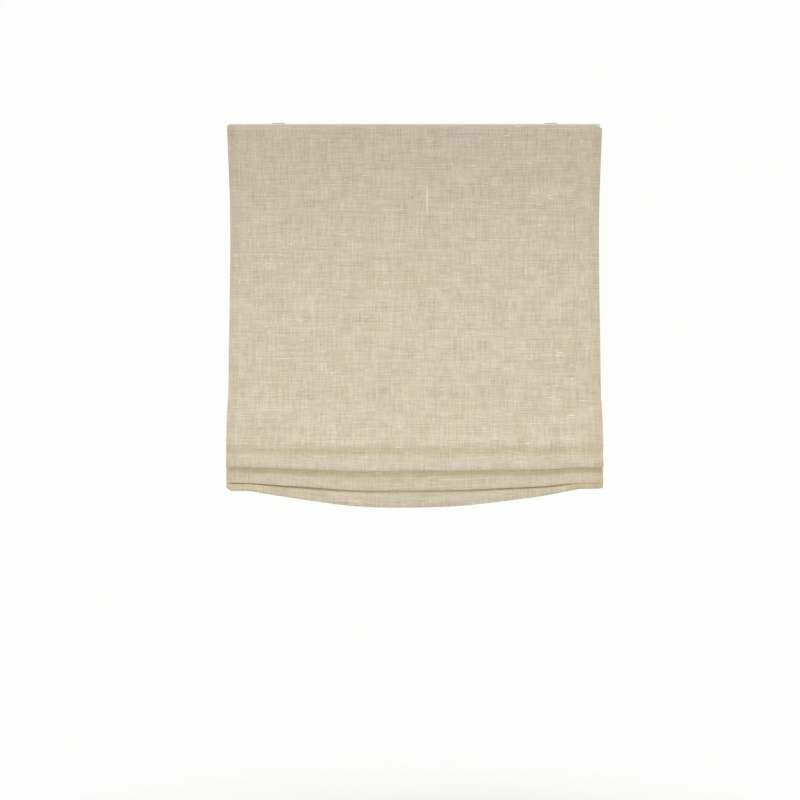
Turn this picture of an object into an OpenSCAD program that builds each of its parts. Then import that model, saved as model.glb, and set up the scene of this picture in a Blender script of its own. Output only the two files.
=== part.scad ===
// Relaxed Roman shade for an inside mount, partly raised.
// One linen sheet hangs from the front of a channel headrail. Its lower half is gathered
// on two lift cords, so two soft folds and a drooping hem show at the bottom.
// The cords wind on spools that a spring motor balances, so no pull cord hangs out.
//
// Frame: X runs along the width, -Y faces the room, +Z is up.
// The origin is on the head jamb, at the centre of the bracket screw holes.

/* [Fabric] */
// Width of the finished linen sheet
fabric_w = 902; // [760:1:1200]
// Thickness of the linen
fabric_t = 0.9; // [0.7:0.1:1.3]
// Top edge of the linen below the head jamb
fabric_top = 6.5; // [4:0.5:9]
// Inward bow of each side edge at mid height
side_bow = 8; // [0:1:20]

/* [Folds] */
// Level of the topmost gathered ring below the head jamb
gather_drop = 762; // [720:1:900]
// Depth of the front fold below that level, at the ring columns
front_fold_depth = 66; // [58:1:76]
// Depth of the second fold, at the ring columns
second_fold_depth = 109; // [104:1:130]
// Depth of the fold that hides behind the second one
inner_fold_depth = 100; // [92:1:106]
// Depth of the hem, at the ring columns
hem_depth = 118; // [112:1:160]
// Further droop of the gathered level at mid width
gather_droop = 7; // [0:1:12]
// Further droop of the front fold at mid width
front_fold_droop = 9; // [2:1:16]
// Further droop of the second fold at mid width
second_fold_droop = 16; // [8:1:30]
// Further droop of the hem at mid width
hem_droop = 43; // [20:1:70]
// How much lower the left end of the hem hangs than the right end
hem_slant = 6; // [0:1:12]
// Width of the belly at the foot of the front fold
fold_belly = 10.5; // [8:0.5:13]

/* [Rings and cords] */
// Length of linen from one ring row to the next
ring_spacing = 235; // [215:1:255]
// Outer diameter of a ring
ring_d = 12.4; // [11:0.2:14]
// Diameter of the ring's wire
ring_wire_d = 1.6; // [1.2:0.1:2]
// Distance of a ring column from the side edge of the linen
ring_inset = 56; // [46:1:90]
// Step from one gathered ring to the next
gather_pitch = 13; // [12:0.5:18]
// Diameter of the lift cord
cord_d = 1.2; // [0.9:0.1:1.6]

/* [Headrail] */
// Depth of the headrail, from the room side to the glass side
rail_depth = 44; // [42:1:56]
// Wall of the headrail
rail_wall = 1.4; // [1:0.1:2]
// Width of each lip that turns in at the top
rail_lip = 6; // [5:0.5:8]
// Outer corner radius of the headrail
rail_corner_r = 2; // [1:0.5:3]
// Free height between the spools and the lips
rail_headroom = 4.8; // [3:0.2:9]
// How far each end cap stays inside the side edge of the linen
rail_inset = 5; // [3:0.5:10]
// Thickness of an end cap
cap_t = 2; // [1.5:0.5:4]
// Depth of the end cap's plug
cap_plug_l = 9; // [6:1:14]
// Height of the hook and loop tapes
tape_h = 20; // [12:1:24]
// Thickness of each tape
tape_t = 1; // [0.8:0.1:1.6]

/* [Brackets] */
// Length of a mounting bracket along the headrail
bracket_l = 30; // [24:1:44]
// Thickness of the bracket's spring steel
bracket_t = 1.6; // [1:0.1:2]
// Distance of a bracket's middle from the end of the headrail
bracket_inset = 116; // [105:1:160]
// Diameter of a screw hole
screw_hole_d = 5; // [4:0.1:6]
// Distance between a bracket's two screw holes
screw_pitch = 16; // [12:0.5:19]
// Reach of the hooks under the lips
hook_reach = 4; // [3:0.5:4.5]

/* [Lift gear] */
// Hexagon shaft, across the flats
shaft_af = 5; // [4:0.1:6]
// Core diameter of a cord spool
spool_core_d = 16; // [14:0.2:18]
// Winding width of a cord spool
spool_w = 27; // [24:1:34]
// Thickness of a spool flange
spool_flange_t = 1.5; // [1.2:0.1:2.5]
// Turns of cord on each spool at this height
winding_turns = 13; // [8:1:17]
// Diameter of the hubs that turn in the bearings
hub_d = 9; // [8.5:0.1:10]
// Thickness of the cradle's bearing arms
cradle_arm_t = 3; // [2:0.5:4]
// Thickness of the cradle's base
cradle_base_t = 1.6; // [1.2:0.1:2.4]
// Width of a shaft collar
collar_w = 5; // [4:0.5:8]

/* [Spring motor] */
// Length of the motor housing
motor_l = 44; // [38:1:70]
// Wall of the motor housing
motor_wall = 2; // [1.5:0.1:2.5]
// Thickness of the motor cover
cover_t = 1.6; // [1.2:0.1:2.4]
// Thickness of the coil on the storage drum
storage_coil_t = 2; // [1.4:0.1:2.2]
// Thickness of the coil on the output drum
output_coil_t = 1; // [0.6:0.1:1.3]
// Thickness of the steel band where it passes between the drums
band_t = 0.4; // [0.3:0.05:0.6]

/* [Bottom rod] */
// Diameter of the spreader rod
rod_d = 6; // [5:0.2:7]
// Distance of the rod's tips from the side edge of the linen
rod_inset = 10; // [6:1:20]
// Length of a rod tip
rod_tip_l = 14; // [10:1:20]
// Wall of a rod tip
rod_tip_wall = 1.2; // [0.8:0.1:1.8]
// Height of a cord lock's barrel
lock_h = 14; // [12:1:18]
// Length of a cord lock's rod clip
lock_clip_l = 13; // [10:1:18]

/* [Hidden] */
$fn = 48;

// Clearances
overrun = 1;
slip_gap = 0.3;
running_gap = 0.1;
seat_gap = 0.2;
sew_gap = 0.3;
ring_gap = 0.5;
snug_gap = 0.05;
turning_gap = 0.4;

// Headrail section
spool_flange_rise = 1.2;
spool_floor_gap = 2;
spool_flange_r = spool_core_d / 2 + cord_d + spool_flange_rise;
shaft_rise = cradle_base_t + spool_floor_gap + spool_flange_r;
rail_h = 2 * rail_wall + shaft_rise + spool_flange_r + rail_headroom;
rail_top_z = -(bracket_t + seat_gap);
rail_bottom_z = rail_top_z - rail_h;
rail_floor_z = rail_bottom_z + rail_wall;
rail_lip_z = rail_top_z - rail_wall;
rail_half = rail_depth / 2;
rail_inner_half = rail_half - rail_wall;
lip_tip_y = rail_inner_half - rail_lip;
rail_l = fabric_w - 2 * (rail_inset + cap_t);
tape_drop = 7;
tape_top_z = rail_top_z - tape_drop;

// Cloth plane, cords and shaft
fabric_rear_y = -(rail_half + 2 * tape_t + sew_gap);
fabric_y = fabric_rear_y - fabric_t / 2;
cord_x = fabric_w / 2 - ring_inset;
cord_y = fabric_rear_y + ring_gap + ring_d / 2;
winding_r = (spool_core_d + cord_d) / 2;
winding_outer_r = winding_r + cord_d / 2;
shaft_y = cord_y + winding_r;
shaft_z = rail_floor_z + shaft_rise;
bracket_x = rail_l / 2 - bracket_inset;

// Heights of the gathered rings, of the folds and of the ring rows on the panel
gather_rows = 3;
gather_z = [for (i = [0 : gather_rows - 1]) -gather_drop - i * gather_pitch];
front_fold_z = -gather_drop - front_fold_depth;
second_fold_z = -gather_drop - second_fold_depth;
inner_fold_z = -gather_drop - inner_fold_depth;
hem_z = -gather_drop - hem_depth;
function panel_row_z(k) = front_fold_z - front_fold_depth + (k + 1) * ring_spacing;

// Cradle, spool and collar places along the shaft
spool_l = spool_w + 2 * spool_flange_t;
cradle_l = spool_l + 2 * slip_gap + 2 * cradle_arm_t;
hub_l = cradle_arm_t + slip_gap;
collar_d = 10;
collar_x = cord_x - cradle_l / 2 - 2 * slip_gap - collar_w / 2;
shaft_l = 2 * (cord_x + cradle_l / 2 + slip_gap);

// Spring motor places
motor_half = rail_inner_half - slip_gap;
motor_inner_half = motor_half - motor_wall;
drum_front_room = motor_inner_half + shaft_y - turning_gap;
drum_rear_room = (motor_inner_half - shaft_y - 2 * turning_gap) / 3;
drum_flange_r = min(drum_front_room, drum_rear_room);
drum_flange_rise = 0.6;
drum_core_r = drum_flange_r - drum_flange_rise - storage_coil_t - slip_gap;
storage_y = shaft_y + 2 * drum_flange_r + turning_gap;
drum_l = motor_l - 2 * motor_wall - 2 * slip_gap;
drum_flange_t = 1.5;
band_w = drum_l - 2 * drum_flange_t - 2 * slip_gap;
motor_top_z = shaft_z + drum_flange_r + 2 * turning_gap;
drum_bore_d = 4;

// Cord lock and spreader rod places
lock_top_z = gather_z[gather_rows - 1] - ring_wire_d / 2 - slip_gap;
lock_shoulder = 1;
lock_sink = 2;
lock_barrel_d = ring_d - 2 * ring_wire_d + 2 * lock_shoulder;
lock_clip_d = ring_d - 2 * slip_gap;
rod_z = lock_top_z - lock_h - lock_clip_d / 2 + lock_sink;
lock_bore_l = 10;
rod_half = fabric_w / 2 - rod_inset - rod_tip_wall;

// Colours
linen_colour = [0.83, 0.78, 0.68];
white_metal_colour = [0.93, 0.93, 0.91];
white_plastic_colour = [0.90, 0.90, 0.88];
clear_plastic_colour = [0.86, 0.88, 0.87];
grey_plastic_colour = [0.55, 0.56, 0.57];
steel_colour = [0.62, 0.63, 0.65];
tape_colour = [0.88, 0.87, 0.84];
cord_colour = [0.94, 0.93, 0.90];

// Small shared shapes

function lerp(a, b, f) = a + (b - a) * f;

// Points of an arc about a centre
function arc_points(c, r, from, to, n = 6) =
    [for (i = [0 : n]) let (a = lerp(from, to, i / n)) [c[0] + r * cos(a), c[1] + r * sin(a)]];

// Extrudes a section drawn in Y and Z along X, centred on X
module along_x(l) {
    translate([-l / 2, 0, 0])
        rotate([90, 0, 90])
            linear_extrude(l) children();
}

// A round bar along X, centred on its own middle
module bar_x(d, l) {
    rotate([0, 90, 0]) cylinder(d = d, h = l, center = true);
}

// A hexagon bar along X, given across its flats
module hex_bar_x(af, l) {
    rotate([0, 90, 0]) cylinder(d = af / cos(30), h = l, center = true, $fn = 6);
}

// A turned piece about X from a profile of [radius, place] points
module turned_x(profile) {
    rotate([0, 90, 0]) rotate_extrude() polygon(profile);
}

module at_column(side) {
    translate([side * cord_x, 0, 0]) children();
}

// Headrail

// The channel: two walls on a floor, with a lip turned in at the top of each wall
module channel_section() {
    r = rail_corner_r;
    outer = concat(
        [[-lip_tip_y, rail_top_z]],
        arc_points([-rail_half + r, rail_top_z - r], r, 90, 180),
        arc_points([-rail_half + r, rail_bottom_z + r], r, 180, 270),
        arc_points([rail_half - r, rail_bottom_z + r], r, 270, 360),
        arc_points([rail_half - r, rail_top_z - r], r, 0, 90),
        [[lip_tip_y, rail_top_z]]);
    inner = [
        [lip_tip_y, rail_lip_z], [rail_inner_half, rail_lip_z],
        [rail_inner_half, rail_floor_z], [-rail_inner_half, rail_floor_z],
        [-rail_inner_half, rail_lip_z], [-lip_tip_y, rail_lip_z]];
    polygon(concat(outer, inner));
}

nozzle_wall = 0.9;
cord_bore_d = 3 * cord_d;
nozzle_d = cord_bore_d + 2 * nozzle_wall;

module headrail() {
    color(white_metal_colour)
        difference() {
            along_x(rail_l) channel_section();
            for (side = [-1, 1])
                at_column(side)
                    translate([0, cord_y, rail_bottom_z - overrun])
                        cylinder(d = nozzle_d + 2 * seat_gap, h = rail_wall + 2 * overrun);
        }
}

// The outline of the headrail's end
module cap_section() {
    r = rail_corner_r;
    polygon(concat(
        arc_points([-rail_half + r, rail_top_z - r], r, 90, 180),
        arc_points([-rail_half + r, rail_bottom_z + r], r, 180, 270),
        arc_points([rail_half - r, rail_bottom_z + r], r, 270, 360),
        arc_points([rail_half - r, rail_top_z - r], r, 0, 90)));
}

// The plug: a U that hugs the inside of the channel
plug_wall = 1.6;
module plug_section() {
    half = rail_inner_half - seat_gap;
    floor_z = rail_floor_z + seat_gap;
    top_z = rail_lip_z - seat_gap;
    difference() {
        translate([-half, floor_z]) square([2 * half, top_z - floor_z]);
        translate([-half + plug_wall, floor_z + plug_wall])
            square([2 * (half - plug_wall), top_z - floor_z]);
    }
}

module end_cap(side) {
    color(white_plastic_colour) {
        translate([side * (rail_l + cap_t) / 2, 0, 0]) along_x(cap_t) cap_section();
        translate([side * (rail_l - cap_plug_l) / 2, 0, 0]) along_x(cap_plug_l) plug_section();
    }
}

// The bracket's plate bears on the lips, and its two hooks spring in under them
module bracket_section() {
    leg_y = lip_tip_y - slip_gap;
    hook_top_z = rail_lip_z - seat_gap;
    hook_bottom_z = hook_top_z - bracket_t;
    polygon([
        [-rail_half + rail_corner_r, 0], [-rail_half + rail_corner_r, -bracket_t],
        [-leg_y, -bracket_t], [-leg_y, hook_top_z],
        [-leg_y - hook_reach, hook_top_z], [-leg_y - hook_reach, hook_bottom_z],
        [-leg_y + bracket_t, hook_bottom_z], [-leg_y + bracket_t, -bracket_t],
        [leg_y - bracket_t, -bracket_t], [leg_y - bracket_t, hook_bottom_z],
        [leg_y + hook_reach, hook_bottom_z], [leg_y + hook_reach, hook_top_z],
        [leg_y, hook_top_z], [leg_y, -bracket_t],
        [rail_half - rail_corner_r, -bracket_t], [rail_half - rail_corner_r, 0]]);
}

module mounting_bracket(side) {
    color(steel_colour)
        translate([side * bracket_x, 0, 0])
            difference() {
                along_x(bracket_l) bracket_section();
                for (row = [-1, 1])
                    translate([0, row * screw_pitch / 2, -bracket_t - overrun])
                        cylinder(d = screw_hole_d, h = bracket_t + 2 * overrun);
            }
}

module tape(rear_y) {
    translate([-rail_l / 2, rear_y - tape_t, tape_top_z - tape_h])
        cube([rail_l, tape_t, tape_h]);
}

module hook_tape() {
    color(white_plastic_colour) tape(-rail_half);
}

module loop_tape() {
    color(tape_colour) tape(-rail_half - tape_t);
}

// Linen sheet

// The cloth is one smooth spline in Y and Z, carried across the width.
// Each knot holds [side inset, y, z, droop at mid width, slant of the left end].
function knot(y, z, droop = 0, inset = 0, slant = 0) = [inset, y, z, droop, slant];

// Depth of layer m in the gathered stack, counted from the cords towards the room
fold_head_room = 2.6;
fold_head_w = fabric_t + fold_head_room;
layer_gap = 0.8;
layer_pitch = fabric_t + layer_gap;
function layer_y(m) = fabric_y - (m == 0 ? 0 : fold_head_w + (m - 1) * layer_pitch);

// A turn over or under an end height: two knots beside each other and one before and after.
// A cubic spline through such knots reaches 1/24 of its leg short of the middle pair.
function turn(y_in, y_out, end_z, leg, droop) =
    let (z = end_z - leg / 24)
    [knot(y_in, z + leg, droop), knot(y_in, z, droop), knot(y_out, z, droop), knot(y_out, z + leg, droop)];

// A limb passes each gathered ring in its own layer
level_rise = 2.5;
function pass(m, level) = [
    knot(layer_y(m), gather_z[level] + level_rise, gather_droop),
    knot(layer_y(m), gather_z[level] - level_rise, gather_droop)];
function pass_up(m, level) = let (p = pass(m, level)) [p[1], p[0]];

// The head of a gathered fold, where a ring is sewn to the linen
head_leg = 4;
function fold_head(level) =
    turn(layer_y(1), layer_y(0), gather_z[level] + level_rise, -head_leg, gather_droop);

// The plain panel, from the top edge to the lowest ring row on it
panel_shares = [0, 0.12, 0.28, 0.46, 0.64, 0.8, 0.93, 1];
panel_bow_shares = [0, 0.35, 0.95, 1, 0.85, 0.6, 0.45, 0.4];
panel_knots = [for (i = [0 : len(panel_shares) - 1])
    knot(fabric_y, lerp(-fabric_top, panel_row_z(0), panel_shares[i]), 0, side_bow * panel_bow_shares[i])];

// The front layer leans out over the gathered stack, forms a soft brow, tucks in below it
// and bulges into the front fold
lean_start_z = panel_row_z(0) - ring_d;
lean_down_share = 0.45;
lean_end_share = 0.9;
lean_out_share = 0.5;
lean_droop_shares = [0.15, 0.3, 0.4];
lean_end_z = lerp(lean_start_z, gather_z[0], lean_end_share);
brow_share = 0.5;
brow_leads = [1.6, 4];
tuck_drop = 7;
tuck_depth = 0.8;
tuck_z = gather_z[2] - tuck_drop;
belly_down_share = 0.32;
belly_out_share = 0.66;
belly_droop_share = 0.5;
turn_leg = 13;
front_rear_y = layer_y(5) - layer_gap;
front_belly_y = front_rear_y - fold_belly;
function lean_droop(i) = gather_droop * lean_droop_shares[i];
front_knots = concat(
    [
        knot(fabric_y, lean_start_z, 0, side_bow * panel_bow_shares[7] / 2),
        knot(
            lerp(fabric_y, layer_y(6), lean_out_share),
            lerp(lean_start_z, gather_z[0], lean_down_share), lean_droop(0)),
        knot(layer_y(6) - brow_leads[0], lean_end_z, lean_droop(1)),
        knot(layer_y(6) - brow_leads[1], lerp(lean_end_z, tuck_z, brow_share), lean_droop(2)),
        knot(layer_y(6) + tuck_depth, tuck_z, lean_droop(2)),
        knot(
            lerp(layer_y(6), front_belly_y, belly_out_share),
            lerp(tuck_z, front_fold_z, belly_down_share),
            lerp(lean_droop(2), front_fold_droop, belly_droop_share))
    ],
    turn(front_belly_y, front_rear_y, front_fold_z, turn_leg, front_fold_droop),
    pass_up(5, 2),
    pass_up(3, 1));

// The second fold hangs behind the front one, shows below it and has a smaller belly
second_size_share = 0.7;
second_pass_share = 0.7;
second_fall_shares = [0.3, 0.6];
second_droop_shares = [0.15, 0.5];
second_out_share = 0.75;
second_rise_share = 0.45;
second_turn_leg = 11;
foot_gap = 1;
second_rear_y = layer_y(3) - layer_gap;
second_belly_y = second_rear_y - second_size_share * fold_belly;
function second_droop(i) = lerp(front_fold_droop, second_fold_droop, second_droop_shares[i]);
second_knots = concat(
    fold_head(0),
    pass(2, 1),
    pass(4, 2),
    [
        knot(
            layer_y(4) - layer_gap / 2,
            lerp(gather_z[2], front_fold_z, second_pass_share), front_fold_droop),
        knot(layer_y(4) - layer_gap, front_fold_z - foot_gap, second_droop(0)),
        knot(
            layer_y(4) - 2 * layer_gap,
            lerp(front_fold_z, second_fold_z, second_fall_shares[0]), second_droop(1)),
        knot(
            lerp(second_rear_y, second_belly_y, second_out_share),
            lerp(front_fold_z, second_fold_z, second_fall_shares[1]), second_fold_droop)
    ],
    turn(second_belly_y, second_rear_y, second_fold_z, second_turn_leg, second_fold_droop),
    [
        knot(
            second_rear_y, lerp(gather_z[2], second_fold_z, second_rise_share),
            lerp(gather_droop, second_fold_droop, second_rise_share))
    ],
    pass_up(3, 2));

// The inner fold stays hidden behind the second one
inner_fall_share = 0.5;
inner_rise_share = 0.4;
inner_turn_leg = 2.6;
inner_turn_room = 1.3;
inner_rear_y = layer_y(1) - layer_gap / 2;
inner_front_y = inner_rear_y - fabric_t - inner_turn_room;
inner_fold_droop = second_fold_droop;
inner_knots = concat(
    fold_head(1),
    pass(2, 2),
    [
        knot(
            lerp(layer_y(2), inner_front_y, inner_fall_share),
            lerp(gather_z[2], inner_fold_z, inner_fall_share),
            lerp(gather_droop, inner_fold_droop, inner_fall_share))
    ],
    turn(inner_front_y, inner_rear_y, inner_fold_z, inner_turn_leg, inner_fold_droop),
    [
        knot(
            layer_y(1), lerp(gather_z[2], inner_fold_z, inner_rise_share),
            lerp(gather_droop, inner_fold_droop, inner_rise_share))
    ]);

// The skirt hangs at the back. Its hem swings forward where it clears the second fold, and curls under.
skirt_fall_shares = [0.35, 0.8];
skirt_hem_shares = [0.1, 0.5, 0.78, 0.9];
skirt_droop_shares = [0.12, 0.3, 0.45, 0.64, 0.84, 0.94];
skirt_slant_shares = [0.25, 0.6];
skirt_lead = 0.5;
hem_swing_limit = 5.5;
hem_swing_gap = 3;
hem_curl = 1.8;
hem_swing = max(0, min(hem_swing_limit, second_fold_z - hem_z - hem_swing_gap));
hem_y = layer_y(2) - hem_swing;
function skirt_droop(i) = lerp(gather_droop, hem_droop, skirt_droop_shares[i]);
function skirt_fall_z(i) = lerp(gather_z[2], inner_fold_z, skirt_fall_shares[i]);
function skirt_hem_z(i) = lerp(inner_fold_z, hem_z, skirt_hem_shares[i]);
skirt_knots = concat(
    fold_head(2),
    [
        knot(layer_y(0), skirt_fall_z(0), skirt_droop(0)),
        knot(layer_y(0) - layer_gap, skirt_fall_z(1), skirt_droop(1)),
        knot(layer_y(0) - 2 * layer_gap, skirt_hem_z(0), skirt_droop(2)),
        knot(layer_y(2) - skirt_lead, skirt_hem_z(1), skirt_droop(3), 0, hem_slant * skirt_slant_shares[0]),
        knot(hem_y, skirt_hem_z(2), skirt_droop(4), 0, hem_slant * skirt_slant_shares[1]),
        knot(hem_y - skirt_lead, skirt_hem_z(3), skirt_droop(5), 0, hem_slant),
        knot(hem_y + hem_curl, hem_z, hem_droop, 0, hem_slant)
    ]);

cloth_knots = concat(panel_knots, front_knots, second_knots, inner_knots, skirt_knots);

// The spline starts and ends exactly on its first and last knot
cloth_last = len(cloth_knots) - 1;
cloth_spline = concat(
    [2 * cloth_knots[0] - cloth_knots[1]],
    cloth_knots,
    [2 * cloth_knots[cloth_last] - cloth_knots[cloth_last - 1]]);

// Place and direction on a uniform cubic spline, in the span that starts at knot i
function spline_at(p, i, t) =
    ((1 - t) ^ 3 * p[i] + (3 * t ^ 3 - 6 * t ^ 2 + 4) * p[i + 1]
        + (-3 * t ^ 3 + 3 * t ^ 2 + 3 * t + 1) * p[i + 2] + t ^ 3 * p[i + 3]) / 6;
function spline_way(p, i, t) =
    (-(1 - t) ^ 2 * p[i] + (3 * t ^ 2 - 4 * t) * p[i + 1]
        + (-3 * t ^ 2 + 2 * t + 1) * p[i + 2] + t ^ 2 * p[i + 3]) / 2;

cloth_steps = 2;
cloth_columns = 16;
cloth_spots = concat(
    [for (i = [0 : cloth_last - 1]) for (k = [0 : cloth_steps - 1]) [i, k / cloth_steps]],
    [[cloth_last - 1, 1]]);

// Droop across the width: a smile between the ring columns, level outside them
function smile_share(u) = cos(90 * min(1, abs(u) * fabric_w / 2 / cord_x));

// One point of the sheet: u from -1 to 1 across, face 1 for the room side and -1 for the back
function cloth_point(at, way, u, face) =
    let (
        smile = smile_share(u),
        left = (1 - u) / 2,
        dz = way[2] - way[3] * smile - way[4] * left,
        size = norm([way[1], dz]),
        off = face * fabric_t / 2 / size)
    [
        u * (fabric_w / 2 - at[0]),
        at[1] + off * dz,
        at[2] - at[3] * smile - at[4] * left - off * way[1]];

function cloth_face(face) = [
    for (s = cloth_spots)
        let (at = spline_at(cloth_spline, s[0], s[1]), way = spline_way(cloth_spline, s[0], s[1]))
        for (c = [0 : cloth_columns]) cloth_point(at, way, 2 * c / cloth_columns - 1, face)];

// A quad of the sheet as two triangles
function quad(a, b, c, d) = [[a, b, c], [a, c, d]];

module shade_fabric() {
    m = cloth_columns + 1;
    rows = len(cloth_spots);
    back = rows * m;
    front_faces = [for (s = [0 : rows - 2]) for (c = [0 : m - 2]) let (a = s * m + c)
        each quad(a, a + 1, a + m + 1, a + m)];
    back_faces = [for (s = [0 : rows - 2]) for (c = [0 : m - 2]) let (a = back + s * m + c)
        each quad(a, a + m, a + m + 1, a + 1)];
    top_edge = [for (c = [0 : m - 2]) each quad(c + 1, c, back + c, back + c + 1)];
    hem_edge = [for (c = [0 : m - 2]) let (a = (rows - 1) * m + c)
        each quad(a, a + 1, back + a + 1, back + a)];
    left_edge = [for (s = [0 : rows - 2]) let (a = s * m)
        each quad(a, a + m, back + a + m, back + a)];
    right_edge = [for (s = [0 : rows - 2]) let (a = s * m + m - 1)
        each quad(a + m, a, back + a, back + a + m)];
    color(linen_colour)
        polyhedron(
            concat(cloth_face(1), cloth_face(-1)),
            concat(front_faces, back_faces, top_edge, hem_edge, left_edge, right_edge));
}

// Rings

// A ring lies level at the back of the linen, and its lift cord runs through it
module lift_ring(side, z) {
    color(clear_plastic_colour)
        at_column(side)
            translate([0, cord_y, z])
                rotate_extrude() translate([(ring_d - ring_wire_d) / 2, 0]) circle(d = ring_wire_d);
}

// A ring on the plain panel, in the row counted from the lowest one
module panel_ring(side, row) {
    lift_ring(side, panel_row_z(row));
}

// A ring in the gathered stack, at the level counted from the top
module gathered_ring(side, level) {
    lift_ring(side, gather_z[level]);
}

// Lift gear

module on_shaft(x = 0) {
    translate([x, shaft_y, shaft_z]) children();
}

module lift_shaft() {
    color(steel_colour) on_shaft() hex_bar_x(shaft_af, shaft_l);
}

module hex_bore(l) {
    hex_bar_x(shaft_af + 2 * snug_gap, l + 2 * overrun);
}

// A flanged drum with a hub at each end, as [radius, place] points
function drum_profile(core_r, flange_r, half, flange_t, hub_r, end) = [
    [0, -end], [hub_r, -end], [hub_r, -half], [flange_r, -half], [flange_r, -half + flange_t],
    [core_r, -half + flange_t], [core_r, half - flange_t], [flange_r, half - flange_t],
    [flange_r, half], [hub_r, half], [hub_r, end], [0, end]];

module cord_spool(side) {
    end = spool_l / 2 + hub_l;
    color(white_plastic_colour)
        on_shaft(side * cord_x)
            difference() {
                turned_x(drum_profile(
                    spool_core_d / 2, spool_flange_r, spool_l / 2, spool_flange_t, hub_d / 2, end));
                hex_bore(2 * end);
            }
}

// The turns of cord on a spool: one sleeve with a round ridge for each turn
module cord_winding(side) {
    half = winding_turns * cord_d / 2;
    ridges = [for (i = [0 : winding_turns - 1])
        each arc_points([winding_r, (i + 0.5) * cord_d - half], cord_d / 2, -80, 80, 4)];
    core_r = spool_core_d / 2 + snug_gap;
    color(cord_colour)
        on_shaft(side * cord_x)
            turned_x(concat([[core_r, -half]], ridges, [[core_r, half]]));
}

window_share = 0.25;

// The cradle carries a spool between two bearing arms and leads the cord through the floor
module cradle_arm_section() {
    half = rail_inner_half - slip_gap;
    top_z = rail_lip_z - slip_gap;
    window_r = window_share * (half - shaft_y - hub_d / 2);
    difference() {
        polygon([
            [-half, rail_floor_z], [half, rail_floor_z], [half, shaft_z],
            [lip_tip_y, top_z], [-half + rail_lip, top_z], [-half, top_z - rail_lip]]);
        translate([shaft_y, shaft_z]) circle(d = hub_d + 2 * running_gap);
        translate([shaft_y + hub_d / 2 + 2 * window_r, shaft_z - window_r / 2]) circle(r = window_r);
    }
}

module spool_cradle(side) {
    half = rail_inner_half - slip_gap;
    nozzle_l = cradle_base_t + rail_wall + seat_gap;
    color(grey_plastic_colour)
        at_column(side)
            difference() {
                union() {
                    for (end = [-1, 1])
                        translate([end * (cradle_l - cradle_arm_t) / 2, 0, 0])
                            along_x(cradle_arm_t) cradle_arm_section();
                    translate([-cradle_l / 2, -half, rail_floor_z])
                        cube([cradle_l, 2 * half, cradle_base_t]);
                    translate([-cradle_l / 2, half - cradle_base_t, rail_floor_z])
                        cube([cradle_l, cradle_base_t, shaft_rise]);
                    translate([0, cord_y, rail_floor_z + cradle_base_t - nozzle_l])
                        cylinder(d = nozzle_d, h = nozzle_l);
                }
                translate([0, cord_y, rail_bottom_z - seat_gap - overrun])
                    cylinder(d = cord_bore_d, h = rail_wall + cradle_base_t + 2 * overrun);
            }
}

module shaft_collar(side) {
    color(steel_colour)
        on_shaft(side * collar_x)
            difference() {
                bar_x(collar_d, collar_w);
                hex_bore(collar_w);
            }
}

// The cord leaves the front of its winding and runs straight down to its lock
module lift_cord(side) {
    end_z = lock_top_z - lock_bore_l + seat_gap;
    color(cord_colour)
        at_column(side)
            difference() {
                translate([0, cord_y, end_z]) cylinder(d = cord_d, h = shaft_z - end_z);
                translate([0, shaft_y, shaft_z]) bar_x(2 * (winding_outer_r + running_gap), spool_w);
            }
}

// Spring motor

drum_hub_end = drum_l / 2 + slip_gap + motor_wall;
drum_places = [shaft_y, storage_y];

// A tray with an open slot in each end wall, so that the drums drop in from above
module motor_housing() {
    slot_d = hub_d + 2 * running_gap;
    color(grey_plastic_colour)
        difference() {
            translate([-motor_l / 2, -motor_half, rail_floor_z])
                cube([motor_l, 2 * motor_half, motor_top_z - rail_floor_z]);
            translate([-motor_l / 2 + motor_wall, -motor_inner_half, rail_floor_z + motor_wall])
                cube([motor_l - 2 * motor_wall, 2 * motor_inner_half, rail_h]);
            for (y = drum_places) {
                translate([0, y, shaft_z]) bar_x(slot_d, motor_l + 2 * overrun);
                translate([-motor_l / 2 - overrun, y - slot_d / 2, shaft_z])
                    cube([motor_l + 2 * overrun, slot_d, rail_h]);
            }
        }
}

// The cover closes the tray, and a tongue fills each slot down to the hub
module motor_cover() {
    tongue_w = hub_d - 2 * running_gap;
    tongue_l = motor_top_z - shaft_z - hub_d / 2 - slip_gap;
    rib_w = motor_wall;
    color(white_plastic_colour) {
        translate([-motor_l / 2, -motor_half, motor_top_z]) cube([motor_l, 2 * motor_half, cover_t]);
        for (y = drum_places, end = [-1, 1])
            translate([end * (motor_l - motor_wall) / 2, y, motor_top_z - tongue_l / 2])
                cube([motor_wall, tongue_w, tongue_l], center = true);
        for (y = drum_places)
            translate([-motor_l / 2, y - rib_w / 2, motor_top_z + cover_t])
                cube([motor_l, rib_w, cover_t / 2]);
    }
}

module output_drum() {
    color(white_plastic_colour)
        on_shaft()
            difference() {
                turned_x(drum_profile(
                    drum_core_r, drum_flange_r, drum_l / 2, drum_flange_t, hub_d / 2, drum_hub_end));
                hex_bore(2 * drum_hub_end);
            }
}

module storage_drum() {
    color(white_plastic_colour)
        translate([0, storage_y, shaft_z])
            difference() {
                turned_x(drum_profile(
                    drum_core_r, drum_flange_r, drum_l / 2, drum_flange_t, hub_d / 2, drum_hub_end));
                bar_x(drum_bore_d, 2 * (drum_hub_end + overrun));
            }
}

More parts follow.
